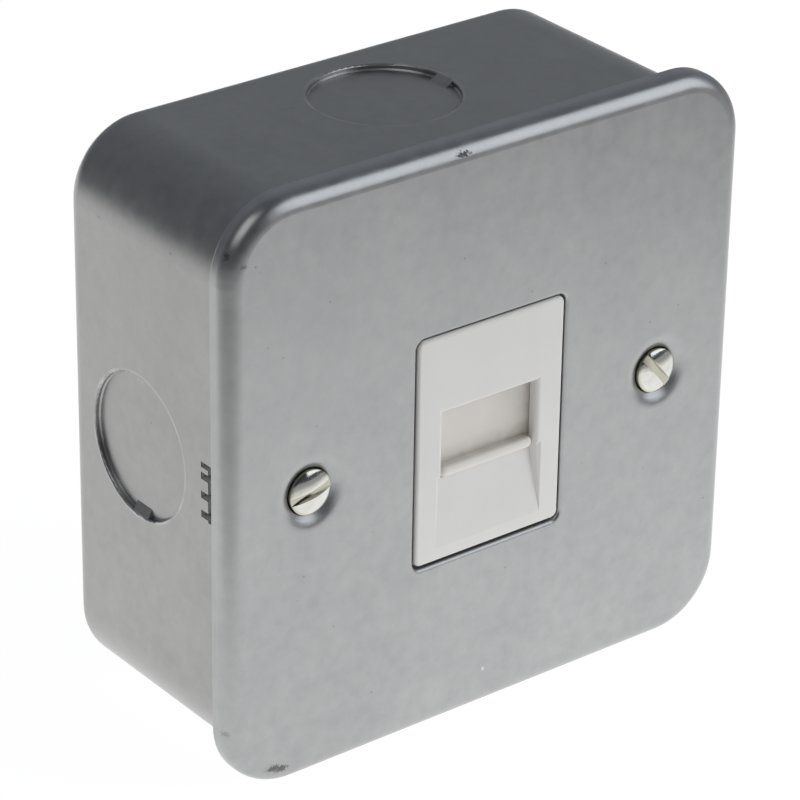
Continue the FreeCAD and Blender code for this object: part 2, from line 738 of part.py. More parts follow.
window_half = S.window_width / 2
rectangle(window, -window_half, window_half, S.window_bottom, S.window_top)
glazed = pocket(frame, "window", window, S.face_wall)
sill = lies_at("Z", S.window_bottom)
border = both(lies_at("Y", -face_front), within(-window_half, window_half, S.window_bottom, S.window_top))
fillet(frame, "window_edge_rounding", glazed, lambda edge: border(edge) and not sill(edge), S.window_edge)
ramp = S.window_bottom - S.chute_bottom
for name, deep, draft in (("chute", S.chute_depth, S.chute_draft),
                          ("chute_shoulder", S.shoulder_depth, S.shoulder_draft)):
    slope = Size(math.degrees(math.atan(deep.value / ramp.value)), "atan(%s / %s)" % (deep.text, ramp.text))
    length = Size(math.hypot(ramp.value, deep.value), "sqrt(%s ^ 2 + %s ^ 2)" % (ramp.text, deep.text))
    chute = new_sketch(frame, name + "_outline", "XZ_Plane", face_front, (0, S.chute_bottom),
                       (Vector(1, 0, 0), -slope))
    polygon(chute, [(-S.chute_width / 2, 0), (S.chute_width / 2, 0), (window_half, length),
                    (-window_half, length)])
    scoop = pocket(frame, name, chute, deep * 2, back=True)
    drive(scoop, "TaperAngle", draft)
doc.recompute()
holes = new_sketch(frame, "stud_hole_centres", "XZ_Plane", S.box_depth)
for label, side in SIDES:
    circle(holes, stud_middle * side, 0, S.stud_diameter + 2 * S.stud_hole_gap)
pocket(frame, "stud_holes", holes, S.box_depth - flange_back)
snap_front = flange_back - S.snap_set
snap_back = snap_front - S.snap_length
catch = new_sketch(frame, "snap_window_outline", "YZ_Plane", jack_half + collar_out)
rectangle(catch, -snap_front - S.snap_gap, -snap_back + S.snap_gap,
          S.snap_low - S.snap_gap, S.snap_high + S.snap_gap)
pocket(frame, "snap_windows", catch, S.jack_width + 2 * collar_out)

# Shutter: plate in the channel, finger bar in the window, tab and peg for the spring
shutter = new_body("shutter")
shutter_half = S.channel_width / 2 - S.shutter_side_gap
shutter_back = flange_back + S.shutter_gap
shutter_front = shutter_back + S.shutter_sheet
blade = new_sketch(shutter, "shutter_outline", "XZ_Plane", shutter_back)
rectangle(blade, -shutter_half, shutter_half, S.window_bottom + S.shutter_gap, S.shutter_top)
pad(shutter, "shutter_plate", blade, S.shutter_sheet)
bar_half = window_half - S.bar_side_gap
root = shutter_front - S.shutter_sheet / 2
bar = new_sketch(shutter, "bar_outline", "XZ_Plane", root)
crest = shutter_front + S.bar_height
rounded(bar, -bar_half, bar_half, S.bar_foot, S.bar_top, S.bar_end)
ridge = pad(shutter, "bar", bar, crest - root)
fillet(shutter, "bar_rounding", ridge, lies_at("Y", -crest), S.bar_round)
tab = new_sketch(shutter, "tab_outline", "XZ_Plane", shutter_back)
rectangle(tab, -S.tab_width / 2, S.tab_width / 2, S.tab_low, S.tab_low + S.tab_sheet)
pad(shutter, "tab", tab, S.tab_length, back=True)
spring_front = shutter_back - S.tab_length / 2
peg = new_sketch(shutter, "peg_outline", "XY_Plane", S.tab_low + S.tab_sheet)
circle(peg, 0, -spring_front, S.peg_diameter)
pad(shutter, "peg", peg, S.peg_height)

# Return spring between the shutter's tab and the top of the housing's groove
spring = new_body("shutter_spring")
wire = new_sketch(spring, "spring_wire_section", "XZ_Plane", spring_front)
coil_radius = (S.spring_diameter - S.spring_wire) / 2
spring_low = S.tab_low + S.tab_sheet + S.spring_seat_gap
spring_high = S.groove_high - S.spring_seat_gap
rectangle(wire, coil_radius - S.spring_wire / 2, coil_radius + S.spring_wire / 2,
          spring_low, spring_low + S.spring_wire)
coil = spring.newObject("PartDesign::AdditiveHelix", "spring_coil")
coil.Profile = wire
coil.ReferenceAxis = (wire, ["V_Axis"])
coil.Mode = "height-turns-angle"
drive(coil, "Height", spring_high - spring_low - S.spring_wire)
drive(coil, "Turns", S.spring_turns)
doc.recompute()

# Jack housing: plug cavity with latch recess, spring groove, contact slots, snap noses and board pegs
jack = new_body("jack_housing")
shell = new_sketch(jack, "jack_outline", "XZ_Plane", jack_back)
rounded(shell, -jack_half, jack_half, S.jack_low, S.jack_high, S.jack_corner)
pad(jack, "jack_block", shell, S.jack_depth)
cavity = new_sketch(jack, "cavity_outline", "XZ_Plane", flange_back)
rectangle(cavity, -S.cavity_width / 2, S.cavity_width / 2, S.cavity_low, S.cavity_high)
pocket(jack, "cavity", cavity, S.cavity_depth)
latch = new_sketch(jack, "latch_outline", "XZ_Plane", flange_back)
rectangle(latch, S.cavity_width / 2 - S.latch_width, S.cavity_width / 2 + S.latch_width,
          S.latch_low, S.latch_high)
pocket(jack, "latch_recess", latch, S.latch_depth)
groove = new_sketch(jack, "groove_outline", "XZ_Plane", flange_back)
rectangle(groove, -S.groove_width / 2, S.groove_width / 2, S.groove_low, S.groove_high)
pocket(jack, "groove", groove, S.groove_depth)
first_x = S.contact_pitch * -2.5
lane = new_sketch(jack, "contact_lane_outline", "XZ_Plane", jack_back)
lane_half = S.contact_slot_width / 2
rectangle(lane, first_x - lane_half, first_x + lane_half, S.cavity_high - S.contact_slot_gap,
          S.contact_z + S.contact_sheet / 2 + S.contact_slot_gap)
cut = pocket(jack, "contact_lane", lane, S.contact_front + S.contact_slot_gap, back=True)
row_of(jack, "contact_lanes", cut, lane, "H_Axis", 6, S.contact_pitch)
pegs = new_sketch(jack, "board_peg_centres", "XZ_Plane", jack_back)
for side in (-1, 1):
    circle(pegs, S.board_peg_x * side, S.board_peg_high, S.board_peg)
    circle(pegs, S.board_peg_x * side, S.board_peg_low, S.board_peg)
pad(jack, "board_pegs", pegs, S.board_sheet + S.board_peg_stand, back=True)
for label, side in SIDES:
    nose = new_sketch(jack, "snap_%s_profile" % label, "XY_Plane", S.snap_low)
    foot = (jack_half - S.jack_corner) * side
    flank = jack_half * side
    crest = (jack_half + S.jack_fit + S.snap_height) * side
    polygon(nose, [(foot, -snap_front), (flank, -snap_front), (crest, -snap_back - S.snap_length / 3),
                   (crest, -snap_back), (foot, -snap_back)])
    pad(jack, "snap_" + label, nose, S.snap_high - S.snap_low)

# Contacts: strips from the board forward over the cavity, folded back down into it
for number in range(1, 7):
    contact = new_body("contact_%d" % number)
    place = S.contact_pitch * (number - 3.5) - S.contact_width / 2
    strip = new_sketch(contact, "contact_%d_profile" % number, "YZ_Plane", place)
    upper = S.contact_z + S.contact_sheet / 2
    lower = S.contact_z - S.contact_sheet / 2
    tail = board_back - S.contact_tail
    nose = jack_back + S.contact_front
    tip = jack_back + S.contact_tip_front
    polygon(strip, [(-tail, lower), (-tail, upper), (-nose + S.contact_bend, upper),
                    (-nose, lower - S.contact_bend / 2),
                    (-nose + S.contact_bend / 2, lower - S.contact_bend),
                    (-tip, S.contact_tip_z - S.contact_sheet), (-tip, S.contact_tip_z),
                    (-nose + S.contact_bend * 0.9, lower - S.contact_bend * 0.55),
                    (-nose + S.contact_bend * 0.6, lower - S.contact_bend * 0.3),
                    (-nose + S.contact_bend, lower)])
    pad(contact, "contact_%d_strip" % number, strip, S.contact_width)

# Circuit board with holes for pegs, contact tails and terminal tails
board = new_body("circuit_board")
panel = new_sketch(board, "board_outline", "XZ_Plane", board_back)
board_half = S.board_width / 2
rounded(panel, -board_half, board_half, -S.board_height / 2, S.board_height / 2, S.board_corner)
pad(board, "board_panel", panel, S.board_sheet)
drill = new_sketch(board, "peg_hole_centres", "XZ_Plane", jack_back)
peg_hole = S.board_peg + 2 * S.board_hole_gap
for side in (-1, 1):
    circle(drill, S.board_peg_x * side, S.board_peg_high, peg_hole)
    circle(drill, S.board_peg_x * side, S.board_peg_low, peg_hole)
    circle(drill, S.block_peg_x * side, S.block_peg_z, peg_hole)
pocket(board, "peg_holes", drill, S.board_sheet)
blade_z = (S.block_low + S.block_high) / 2
rows = (("contact", S.contact_pitch, S.contact_z, S.contact_width, S.contact_sheet),
        ("terminal", S.terminal_pitch, blade_z, S.blade_tail_width, S.blade_sheet))
for label, pitch, height, width, thick in rows:
    tails = new_sketch(board, label + "_tail_hole", "XZ_Plane", jack_back)
    half = width / 2 + S.tail_gap
    high = thick / 2 + S.tail_gap
    rectangle(tails, pitch * -2.5 - half, pitch * -2.5 + half, height - high, height + high)
    cut = pocket(board, label + "_tail_cut", tails, S.board_sheet)
    row_of(board, label + "_tail_cuts", cut, tails, "H_Axis", 6, pitch)

# Terminal block: wire slots crossed by blade slots, pegs into the board
block = new_body("terminal_block")
body = new_sketch(block, "block_outline", "XZ_Plane", block_back)
block_half = S.block_width / 2
rounded(body, -block_half, block_half, S.block_low, S.block_high, S.block_corner)
pad(block, "block_body", body, S.block_depth)
first_x = S.terminal_pitch * -2.5
wires = new_sketch(block, "wire_slot_outline", "XZ_Plane", block_back)
rectangle(wires, first_x - S.wire_slot / 2, first_x + S.wire_slot / 2,
          S.block_low - S.block_corner, S.block_high + S.block_corner)
cut = pocket(block, "wire_slot", wires, S.wire_slot_depth, back=True)
row_of(block, "wire_slots", cut, wires, "H_Axis", 6, S.terminal_pitch)
blades = new_sketch(block, "blade_slot_outline", "XZ_Plane", block_back)
blade_half = S.blade_width / 2 + S.blade_gap
blade_thick = S.blade_sheet / 2 + S.blade_gap
rectangle(blades, first_x - blade_half, first_x + blade_half,
          blade_z - blade_thick, blade_z + blade_thick)
cut = pocket(block, "blade_slot", blades, S.block_depth, back=True)
row_of(block, "blade_slots", cut, blades, "H_Axis", 6, S.terminal_pitch)
keys = new_sketch(block, "block_peg_centres", "XZ_Plane", board_back)
for side in (-1, 1):
    circle(keys, S.block_peg_x * side, S.block_peg_z, S.board_peg)
pad(block, "block_pegs", keys, S.board_sheet)

# Terminal blades: forked strips that pierce the wire's cover, with tails in the board
for number in range(1, 7):
    fork = new_body("terminal_blade_%d" % number)
    middle = S.terminal_pitch * (number - 3.5)
    profile = new_sketch(fork, "fork_%d_profile" % number, "XY_Plane", blade_z - S.blade_sheet / 2,
                         (middle, 0))
    wide = S.blade_width / 2
    jaw = S.blade_fork / 2
    mouth = S.blade_mouth / 2
    neck = S.blade_tail_width / 2
    tip = block_back + S.blade_set
    throat = tip + S.blade_fork_depth
    tail = jack_back + S.blade_tail
    polygon(profile, [(-wide, -tip), (-mouth, -tip), (-jaw, -tip - mouth), (-jaw, -throat),
                      (jaw, -throat), (jaw, -tip - mouth), (mouth, -tip), (wide, -tip),
                      (wide, -board_back), (neck, -board_back), (neck, -tail),
                      (-neck, -tail), (-neck, -board_back), (-wide, -board_back)])
    pad(fork, "fork_%d_strip" % number, profile, S.blade_sheet)

# Push-on washers that hold the frame's flange on the cover's studs
for label, side in SIDES:
    washer = new_body("retaining_washer_" + label)
    centre = stud_middle * side
    disc = new_sketch(washer, "washer_%s_outline" % label, "XZ_Plane", flange_back, (centre, 0))
    circle(disc, 0, 0, S.washer_diameter)
    circle(disc, 0, 0, S.stud_diameter + 2 * S.washer_grip)
    pad(washer, "washer_%s_disc" % label, disc, S.washer_sheet, back=True)
    slit = new_sketch(washer, "washer_%s_slit_outline" % label, "XZ_Plane", flange_back, (centre, 0))
    rectangle(slit, S.stud_diameter / 4, S.washer_slit_reach, -S.washer_slit / 2, S.washer_slit / 2)
    cut = pocket(washer, "washer_%s_slit" % label, slit, S.washer_sheet)
    around = washer.newObject("PartDesign::PolarPattern", "washer_%s_slits" % label)
    around.Originals = [cut]
    around.Axis = (slit, ["N_Axis"])
    around.Angle = 360
    around.Occurrences = 6
    washer.Tip = around
    doc.recompute()

# Every feature must be sound before anything is written
doc.recompute()
faults = [item.Name for item in doc.Objects if "Invalid" in item.State or "Error" in item.State]
for node in nodes:
    if node.Shape.isNull() or not node.Shape.isValid() or len(node.Shape.Solids) != 1:
        faults.append(node.Label)
if faults:
    raise RuntimeError("features to mend: " + ", ".join(faults))
for node in nodes:
    node.Shape.exportStep("parts/%s.step" % node.Label)
    bounds = node.Shape.BoundBox
    print("%-24s %9.1f mm3  %6.1f x %5.1f x %5.1f" % (
        node.Label, node.Shape.Volume, bounds.XLength, bounds.YLength, bounds.ZLength))
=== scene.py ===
# %% [markdown]
# A telephone socket in a steel surface box, dressed for a studio picture.
# The measured model is loaded first. Its solids keep their places, and the lesson adds the two things
# they lack: fine forms, such as screw threads and a round-wire spring, and the finish of each surface.

# %% Load the measured model
import math
import bmesh
import bpy
from mathutils import Matrix, Vector


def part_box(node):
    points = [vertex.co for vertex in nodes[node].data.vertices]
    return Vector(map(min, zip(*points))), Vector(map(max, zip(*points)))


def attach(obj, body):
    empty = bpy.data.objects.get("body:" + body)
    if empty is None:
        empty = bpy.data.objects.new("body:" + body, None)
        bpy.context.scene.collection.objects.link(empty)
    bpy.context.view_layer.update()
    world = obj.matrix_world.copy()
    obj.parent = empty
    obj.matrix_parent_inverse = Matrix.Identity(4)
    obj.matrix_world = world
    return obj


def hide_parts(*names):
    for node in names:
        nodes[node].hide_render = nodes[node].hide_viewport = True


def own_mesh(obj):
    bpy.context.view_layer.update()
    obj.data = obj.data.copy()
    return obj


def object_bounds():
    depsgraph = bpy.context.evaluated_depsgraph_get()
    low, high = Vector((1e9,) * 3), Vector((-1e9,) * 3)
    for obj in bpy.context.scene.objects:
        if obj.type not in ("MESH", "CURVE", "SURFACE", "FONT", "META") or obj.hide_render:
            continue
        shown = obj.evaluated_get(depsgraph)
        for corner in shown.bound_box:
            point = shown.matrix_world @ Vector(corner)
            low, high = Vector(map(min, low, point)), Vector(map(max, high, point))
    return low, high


MM = 0.001
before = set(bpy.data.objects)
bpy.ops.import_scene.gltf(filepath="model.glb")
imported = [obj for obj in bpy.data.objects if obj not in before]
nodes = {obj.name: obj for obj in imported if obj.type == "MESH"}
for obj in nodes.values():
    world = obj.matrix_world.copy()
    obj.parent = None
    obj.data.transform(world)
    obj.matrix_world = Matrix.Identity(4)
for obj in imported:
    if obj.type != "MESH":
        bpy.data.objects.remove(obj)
cad_box = [list(corner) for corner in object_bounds()]
bpy.ops.object.select_all(action="DESELECT")
scene = bpy.context.scene
scene.view_settings.view_transform = "Standard"
print("nodes:", len(nodes), "box:", cad_box)

# %% [markdown]
# The camera stands to the left of the socket and above it, half a metre off behind a long lens, so that
# upright edges stay nearly parallel. A tracking constraint could aim it. Its matrix is built from three
# turns here, because the picture also leans by one degree.

# %% Camera
camera_data = bpy.data.cameras.new("studio_camera")
camera_data.sensor_width = 36.0
camera_data.lens = 178.853
camera_data.clip_start = 0.01
camera = bpy.data.objects.new("studio_camera", camera_data)
scene.collection.objects.link(camera)
turn, tilt, lean = -0.666044, 0.478289, 0.016959
stand = (-0.305095, -0.408271, 0.252306)
aim = Matrix.Rotation(turn, 4, "Z") @ Matrix.Rotation(math.pi / 2 - tilt, 4, "X")
aim = aim @ Matrix.Rotation(lean, 4, "Z")
camera.matrix_world = Matrix.Translation(stand) @ aim
scene.camera = camera
print("camera at", [round(v, 3) for v in camera.matrix_world.translation])

# %% [markdown]
# Shader nodes are the same few steps again and again: add a node, set some inputs, link the others.
# One small helper does all three. Three more wrap a step of arithmetic and the nodes that turn a pattern
# into a colour or into a number. Writing each node out by hand would work too, at four times the length.

# %% Helpers for shader nodes
def add(tree, kind, inputs={}, **settings):
    """Add a node. An input that is given a socket is linked, one that is given a value is set."""
    made = tree.nodes.new("ShaderNode" + kind)
    for name, value in settings.items():
        setattr(made, name, value)
    for key, value in inputs.items():
        if isinstance(value, bpy.types.NodeSocket):
            tree.links.new(value, made.inputs[key])
        else:
            made.inputs[key].default_value = value
    return made


def maths(tree, operation, first, second=0.0):
    """One step of arithmetic on one or two numbers."""
    return add(tree, "Math", {0: first, 1: second}, operation=operation).outputs[0]


def ramp(tree, source, *stops):
    """Turn a number into a colour through stops of (position, colour)."""
    made = add(tree, "ValToRGB", {"Fac": source})
    points = made.color_ramp.elements
    while len(points) < len(stops):
        points.new(1.0)
    for point, (where, colour) in zip(points, stops):
        point.position = where
        point.color = (*colour, 1)
    return made.outputs["Color"]


def spread(tree, source, start, end, low, high):
    """Map the range start to end onto low to high, clamped."""
    made = add(tree, "MapRange", {"Value": source, "From Min": start, "From Max": end, "To Min": low,
                                  "To Max": high})
    return made.outputs["Result"]


print("helpers:", [helper.__name__ for helper in (add, maths, ramp, spread)])

# %% [markdown]
# Satin metal shows what is around it more than what shines on it. The room is almost black in front and
# overhead, and lighter behind the box. Walls and a ceiling could be built; a world that fades along one
# direction does the same. Where the camera looks past everything, it is white.

# %% Room
world = bpy.data.worlds.new("studio")
scene.world = world
world.use_nodes = True
sky = world.node_tree
sky.nodes.clear()
along = add(sky, "VectorMath", {0: add(sky, "TexCoord").outputs["Generated"], 1: (0.45, 0.75, -0.2)},
            operation="DOT_PRODUCT").outputs["Value"]
depth = spread(sky, along, -0.4, 1.0, 0.0, 1.0)
dim_room = add(sky, "Background", {"Color": ramp(
    sky, depth, (0.07, (0.045, 0.048, 0.056)), (0.29, (0.11, 0.119, 0.133)), (0.46, (0.185, 0.199, 0.221)),
    (0.79, (0.27, 0.287, 0.311)), (1.0, (0.33, 0.348, 0.372)))})
white = add(sky, "Background", {"Color": (1, 1, 1, 1)})
choice = add(sky, "MixShader", {"Fac": add(sky, "LightPath").outputs["Is Camera Ray"],
                                1: dim_room.outputs[0], 2: white.outputs[0]})
add(sky, "OutputWorld", {"Surface": choice.outputs[0]})
print("world:", len(sky.nodes), "nodes")

# %% [markdown]
# The socket stands on a lit table of white acrylic, as catalogue studios use. To the eye the table is
# white, with the soft shadow left in. To the object it is a pool of light, brightest behind the box, that
# dies away towards the rim. It lights the moulding from below and gives the cover its slow gradient.

# %% Table
bpy.ops.mesh.primitive_circle_add(vertices=96, radius=1.2, fill_type="NGON", location=(0, 0, cad_box[0][2]))
table = bpy.context.object
table.name = "table"
acrylic = bpy.data.materials.new("white_acrylic")
acrylic.use_nodes = True
ground = acrylic.node_tree
ground.nodes.clear()
spot = add(ground, "TexCoord").outputs["Object"]
oval = add(ground, "Mapping", {"Vector": spot, "Location": (0.05, 0.13, 0), "Scale": (0.6, 1.67, 1)},
           vector_type="TEXTURE")
around = add(ground, "VectorMath", {0: oval.outputs[0]}, operation="LENGTH").outputs["Value"]
behind = add(ground, "SeparateXYZ", {0: spot}).outputs["Y"]
away = add(ground, "Math", {0: behind, 1: -0.8, 2: around}, operation="MULTIPLY_ADD").outputs[0]
pool = ramp(ground, away, *((reach, (tone,) * 3) for reach, tone in (
    (0.0, 0.79), (0.18, 0.785), (0.20, 0.73), (0.26, 0.75), (0.30, 0.76), (0.32, 0.59), (0.37, 0.54),
    (0.40, 0.45), (0.46, 0.30), (0.60, 0.25), (1.0, 0.27))))
glow = add(ground, "Emission", {"Color": pool, "Strength": 1.5})
matt = add(ground, "BsdfDiffuse", {"Color": (0.86, 0.86, 0.86, 1)})
white = add(ground, "Emission", {"Color": (1, 1, 1, 1), "Strength": 1.13})
seen = add(ground, "MixShader", {"Fac": 0.85, 1: matt.outputs[0], 2: white.outputs[0]})
surface = add(ground, "MixShader", {"Fac": add(ground, "LightPath").outputs["Is Camera Ray"],
                                    1: glow.outputs[0], 2: seen.outputs[0]})
add(ground, "OutputMaterial", {"Surface": surface.outputs[0]})
table.data.materials.append(acrylic)
print("table at", round(table.location.z, 5))

# %% [markdown]
# Three soft boxes, each a metre away. The key stands right of the camera at the height of a face and
# draws the bright line along the top edge. A second one overhead on the left touches only the rounded
# corner. The third lights the white moulding from the right and is kept out of reflections.

# %% Lamps
def soft_box(name, toward, size, glow, tint, in_mirror=True):
    """An area lamp one metre away; glow is how bright its face looks in a mirror."""
    lamp = bpy.data.lights.new(name, "AREA")
    lamp.shape = "SQUARE"
    lamp.size = size
    lamp.energy = glow * math.pi * size ** 2
    lamp.color = tint
    holder = bpy.data.objects.new(name, lamp)
    scene.collection.objects.link(holder)
    holder.location = Vector(toward).normalized()
    holder.rotation_euler = Vector(toward).to_track_quat("Z", "Y").to_euler()
    holder.visible_glossy = in_mirror
    holder.visible_camera = False
    return holder


lamps = [soft_box("key_box", (0.60, -0.64, 0.49), 0.86, 1.62, (0.91, 0.955, 1.0)),
         soft_box("overhead_box", (-0.58, -0.18, 0.79), 0.66, 1.05, (0.97, 0.99, 1.0)),
         soft_box("side_box", (0.72, -0.60, 0.35), 0.60, 1.60, (1.0, 0.985, 0.97), in_mirror=False)]
print("lamps:", [(lamp.name, round(lamp.data.energy, 2)) for lamp in lamps])

# %% [markdown]
# The cover screws are slotted, with a raised oval head on a cone and a machine thread, turned from bar
# and nickel plated. The head starts as a short cylinder. Each ring of its dome is one inset that is also
# lifted, following a ball of the right radius, and the cone and shank grow from the other end.

# %% Cover screw: head, cone and shank
def pick_faces(piece, test):
    """In edit mode, select only the faces whose centre and normal pass the test."""
    bpy.ops.mesh.select_mode(type="FACE")
    bpy.ops.mesh.select_all(action="DESELECT")
    mesh = bmesh.from_edit_mesh(piece.data)
    for face in mesh.faces:
        face.select_set(test(face.calc_center_median(), face.normal))
    bmesh.update_edit_mesh(piece.data)


head, land, dome, core, sunk = 3.3 * MM, 0.55 * MM, 0.70 * MM, 1.38 * MM, 0.3 * MM
low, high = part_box("plate_screw_left")
reach = high[1] - low[1] - land - dome - sunk
bpy.ops.mesh.primitive_cylinder_add(vertices=48, radius=head, depth=land, location=(0, 0, land / 2))
screw = bpy.context.object
bpy.ops.object.transform_apply(location=True, rotation=True, scale=True)
bpy.ops.object.mode_set(mode="EDIT")
pick_faces(screw, lambda centre, normal: normal.z > 0.9)
ball = (head ** 2 + dome ** 2) / (2 * dome)
rings = [head, 2.9 * MM, 2.4 * MM, 1.8 * MM, 1.2 * MM, 0.7 * MM, 0.2 * MM]
for outer, inner in zip(rings, rings[1:]):
    lift = math.sqrt(ball ** 2 - inner ** 2) - math.sqrt(ball ** 2 - outer ** 2)
    bpy.ops.mesh.inset(thickness=outer - inner, depth=lift)
pick_faces(screw, lambda centre, normal: normal.z < -0.9)
bpy.ops.mesh.inset(thickness=head - core, depth=head - core)
tip = 0.5 * MM
bpy.ops.mesh.extrude_region_move(TRANSFORM_OT_translate={"value": (0, 0, head - core + tip - reach)})
bpy.ops.mesh.inset(thickness=tip, depth=tip)
bpy.ops.object.mode_set(mode="OBJECT")
print("screw:", len(screw.data.polygons), "faces, reach", round(reach, 5))

# %% [markdown]
# A slitting saw cuts the slot, so its floor is flat and its walls are straight. A boolean with a bar
# leaves the same faces. A fine bevel then breaks every sharp edge, because plated edges are never sharp
# and it is that thin curve which catches the light.

# %% Cover screw: slot and broken edges
slot_width, slot_depth, saw_length = 1.2 * MM, 0.75 * MM, 9 * MM
bar_place, bar_size = (0, 0, land + dome), (saw_length, slot_width, 2 * slot_depth)
bpy.ops.mesh.primitive_cube_add(size=1, location=bar_place, scale=bar_size)
saw = bpy.context.object
cut = screw.modifiers.new("slot", "BOOLEAN")
cut.operation = "DIFFERENCE"
cut.object = saw
bpy.context.view_layer.objects.active = screw
bpy.ops.object.modifier_apply(modifier="slot")
bpy.data.objects.remove(saw)
edge = screw.modifiers.new("edge", "BEVEL")
edge.width = 0.09 * MM
edge.segments = 3
edge.limit_method = "ANGLE"
edge.angle_limit = math.radians(35)
bpy.ops.object.modifier_apply(modifier="edge")
print("slotted:", len(screw.data.polygons), "faces")

# %% [markdown]
# The thread is a ridge of triangular section wound round the core. A three-sided ring is turned to stand
# upright, set at the core, and carried down the shank by a screw modifier. Its two open ends are filled.
# Left and right screws are copies of the one piece, each with its slot where the fitter stopped turning.

# %% Cover screw: thread, then the two screws in place
def finish_edit(piece):
    """Close open ends of up to sixteen sides, weld seams and turn all faces outwards."""
    bpy.ops.object.mode_set(mode="EDIT")
    bpy.ops.mesh.select_all(action="SELECT")
    bpy.ops.mesh.remove_doubles(threshold=0.001 * MM)
    bpy.ops.mesh.fill_holes(sides=16)
    bpy.ops.mesh.normals_make_consistent(inside=False)
    bpy.ops.object.mode_set(mode="OBJECT")
    print(piece.name, "closed with", len(piece.data.polygons), "faces")


def wind(piece, pitch, turns, steps):
    """Carry a ring round the Z axis into a helix."""
    bpy.ops.object.transform_apply(location=True, rotation=True, scale=True)
    helix = piece.modifiers.new("helix", "SCREW")
    helix.axis = "Z"
    helix.screw_offset = pitch
    helix.iterations = turns
    helix.steps = steps
    helix.render_steps = steps
    bpy.ops.object.modifier_apply(modifier="helix")
    finish_edit(piece)


def join(first, *others):
    """Make one mesh of several and leave it selected."""
    bpy.ops.object.select_all(action="DESELECT")
    for piece in (first, *others):
        piece.select_set(True)
    bpy.context.view_layer.objects.active = first
    bpy.ops.object.join()


def place_copy(master, name, place, turns, body, stretch=1.0):
    """Copy a master, turn it, set it down with its transform applied, and give it a body."""
    bpy.ops.object.select_all(action="DESELECT")
    master.select_set(True)
    bpy.context.view_layer.objects.active = master
    bpy.ops.object.duplicate()
    piece = bpy.context.object
    piece.name = piece.data.name = name
    piece.matrix_world = Matrix.Translation(place) @ turns @ Matrix.Scale(stretch, 4)
    bpy.ops.object.transform_apply(location=True, rotation=True, scale=True)
    bpy.ops.object.shade_smooth_by_angle(angle=math.radians(40))
    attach(piece, body)
    return piece


ridge, thread_radius, pitch, thread_turns = 0.32 * MM, 1.75 * MM, 0.6 * MM, 17
ridge_place = (thread_radius - ridge, 0, core - head - tip)
bpy.ops.mesh.primitive_circle_add(vertices=3, radius=ridge, location=ridge_place,
                                  rotation=(math.pi / 2, math.pi / 2, 0))
thread = bpy.context.object
wind(thread, -pitch, thread_turns, 24)
join(screw, thread)
screws = []
for side, slot_turn in (("left", 11.0), ("right", -49.5)):
    low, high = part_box("plate_screw_" + side)
    seat = ((low[0] + high[0]) / 2, low[1] + land + dome + sunk, (low[2] + high[2]) / 2)
    turns = Matrix.Rotation(math.pi / 2, 4, "X") @ Matrix.Rotation(math.radians(slot_turn), 4, "Z")
    made = place_copy(screw, "cover_screw_" + side, seat, turns, "socket")
    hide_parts("plate_screw_" + side)
    screws.append(made)
bpy.data.objects.remove(screw)
print("screws:", [(piece.name, len(piece.data.polygons)) for piece in screws])

# %% [markdown]
# The return spring is cold wound from round music wire, with its end turns closed flat. The working turns
# are a ring carried up a helix; the closed ends are two rings. It stands between the shutter and the roof
# of its pocket.

# %% Return spring
low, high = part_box("shutter_spring")
wire = 0.175 * MM
coil = (high[0] - low[0]) / 2 - wire
foot = Vector(((low[0] + high[0]) / 2, (low[1] + high[1]) / 2, low[2] + wire))
rise = high[2] - low[2] - 2 * wire
bpy.ops.mesh.primitive_circle_add(vertices=12, radius=wire, location=(coil, 0, 0),
                                  rotation=(math.pi / 2, 0, 0))
coils = bpy.context.object
spring_turns = 5
wind(coils, rise / spring_turns, spring_turns, 32)
ends = []
for end_height in (0, rise):
    bpy.ops.mesh.primitive_torus_add(major_radius=coil, minor_radius=wire, major_segments=32,
                                     minor_segments=12, location=(0, 0, end_height))
    ends.append(bpy.context.object)
join(coils, *ends)
spring = place_copy(coils, "return_spring", foot, Matrix.Identity(4), "socket")
bpy.data.objects.remove(coils)
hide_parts("shutter_spring")
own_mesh(spring)
print("spring:", len(spring.data.polygons), "faces, rise", round(rise, 5))

# %% [markdown]
# Each contact and each blade is soldered where its tail comes through the board. Solder wets the pad and
# climbs the tail in a hollow cone. A disc is extruded in steps that narrow fast at first and slowly at
# the top, which gives that hollow line. One joint is modelled and copied, larger for the blades.

# %% Solder joints
bpy.ops.mesh.primitive_circle_add(vertices=20, radius=0.55 * MM, fill_type="NGON")
joint = bpy.context.object
bpy.ops.object.mode_set(mode="EDIT")
bpy.ops.mesh.select_all(action="SELECT")
for climb, shrink in ((0.05, 0.94), (0.07, 0.78), (0.12, 0.76), (0.18, 0.82), (0.16, 0.86), (0.05, 0.6)):
    bpy.ops.mesh.extrude_region_move(TRANSFORM_OT_translate={"value": (0, 0, climb * MM)})
    bpy.ops.transform.resize(value=(shrink, shrink, 1))
bpy.ops.object.mode_set(mode="OBJECT")
finish_edit(joint)
board_low, board_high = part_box("circuit_board")
solder = []
for number in range(1, 7):
    low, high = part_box("contact_%d" % number)
    tail = ((low[0] + high[0]) / 2, board_high[1], high[2] - 0.15 * MM)
    back_turn = Matrix.Rotation(-math.pi / 2, 4, "X")
    solder.append(place_copy(joint, "contact_solder_%d" % number, tail, back_turn, "socket"))
    low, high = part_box("terminal_blade_%d" % number)
    tail = ((low[0] + high[0]) / 2, board_low[1], (low[2] + high[2]) / 2)
    front_turn = Matrix.Rotation(math.pi / 2, 4, "X")
    solder.append(place_copy(joint, "blade_solder_%d" % number, tail, front_turn, "socket",
                             stretch=1.5))
bpy.data.objects.remove(joint)
print("solder joints:", len(solder))

